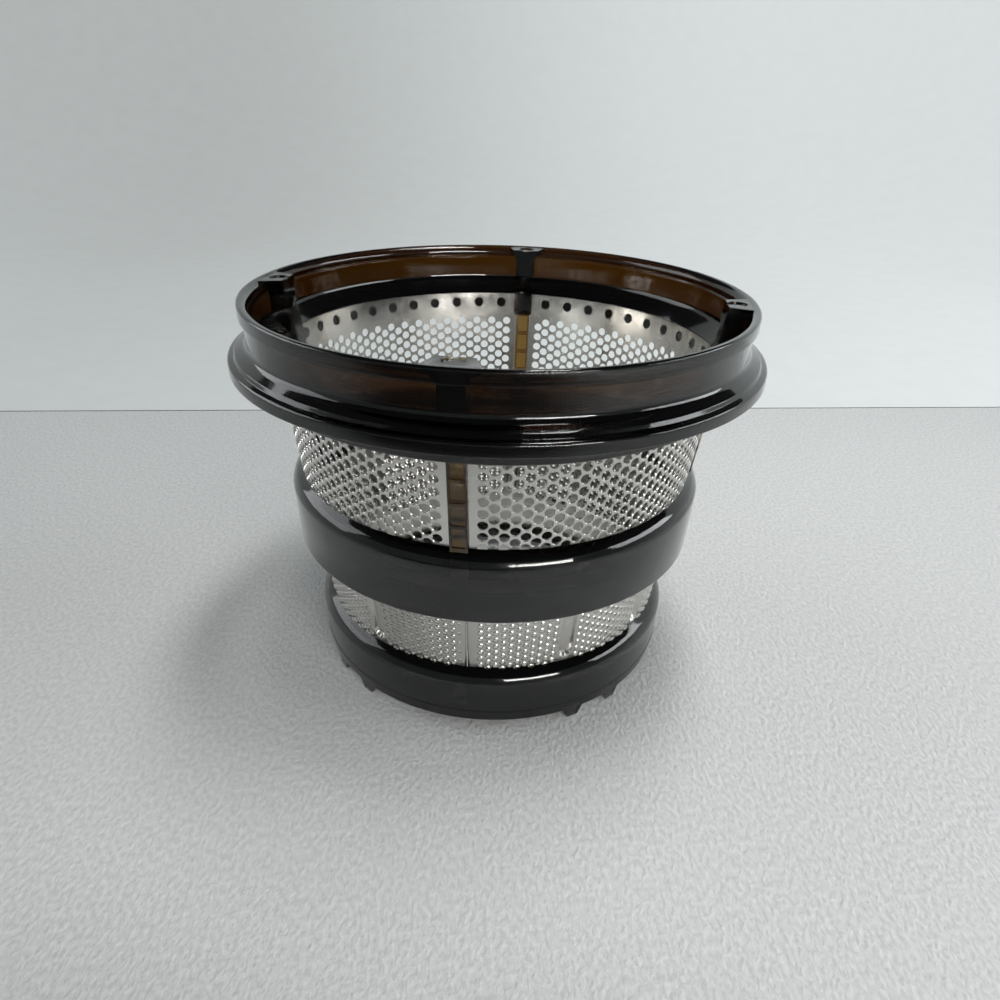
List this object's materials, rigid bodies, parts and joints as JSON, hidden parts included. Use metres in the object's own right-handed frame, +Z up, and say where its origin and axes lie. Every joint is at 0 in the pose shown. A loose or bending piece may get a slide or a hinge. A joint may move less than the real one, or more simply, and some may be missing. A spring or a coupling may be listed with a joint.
{
  "type": "juicer mesh screen",
  "caption": "Conical mesh screen for a slow juicer: coarse and fine perforated steel held by a dark brown moulded collar, posts and rings, on short lugs.",
  "frame": {"origin": "on the axis, level with the tips of the lugs", "axes": "+Z up along the axis from the lugs to the rim, -Y towards the front post and the seam of the fine screen"},
  "size_m": [0.1214, 0.1214, 0.0911],
  "materials": {
    "plastic": "glossy dark brown, see-through where thin",
    "steel": "satin"
  },
  "bodies": {
    "root": {"upper_frame": "plastic", "upper_screen_front_right": "steel", "upper_screen_back_right": "steel", "upper_screen_back_left": "steel", "upper_screen_front_left": "steel", "lower_screen": "steel", "bottom_ring": "plastic"}
  },
  "joints": []
}
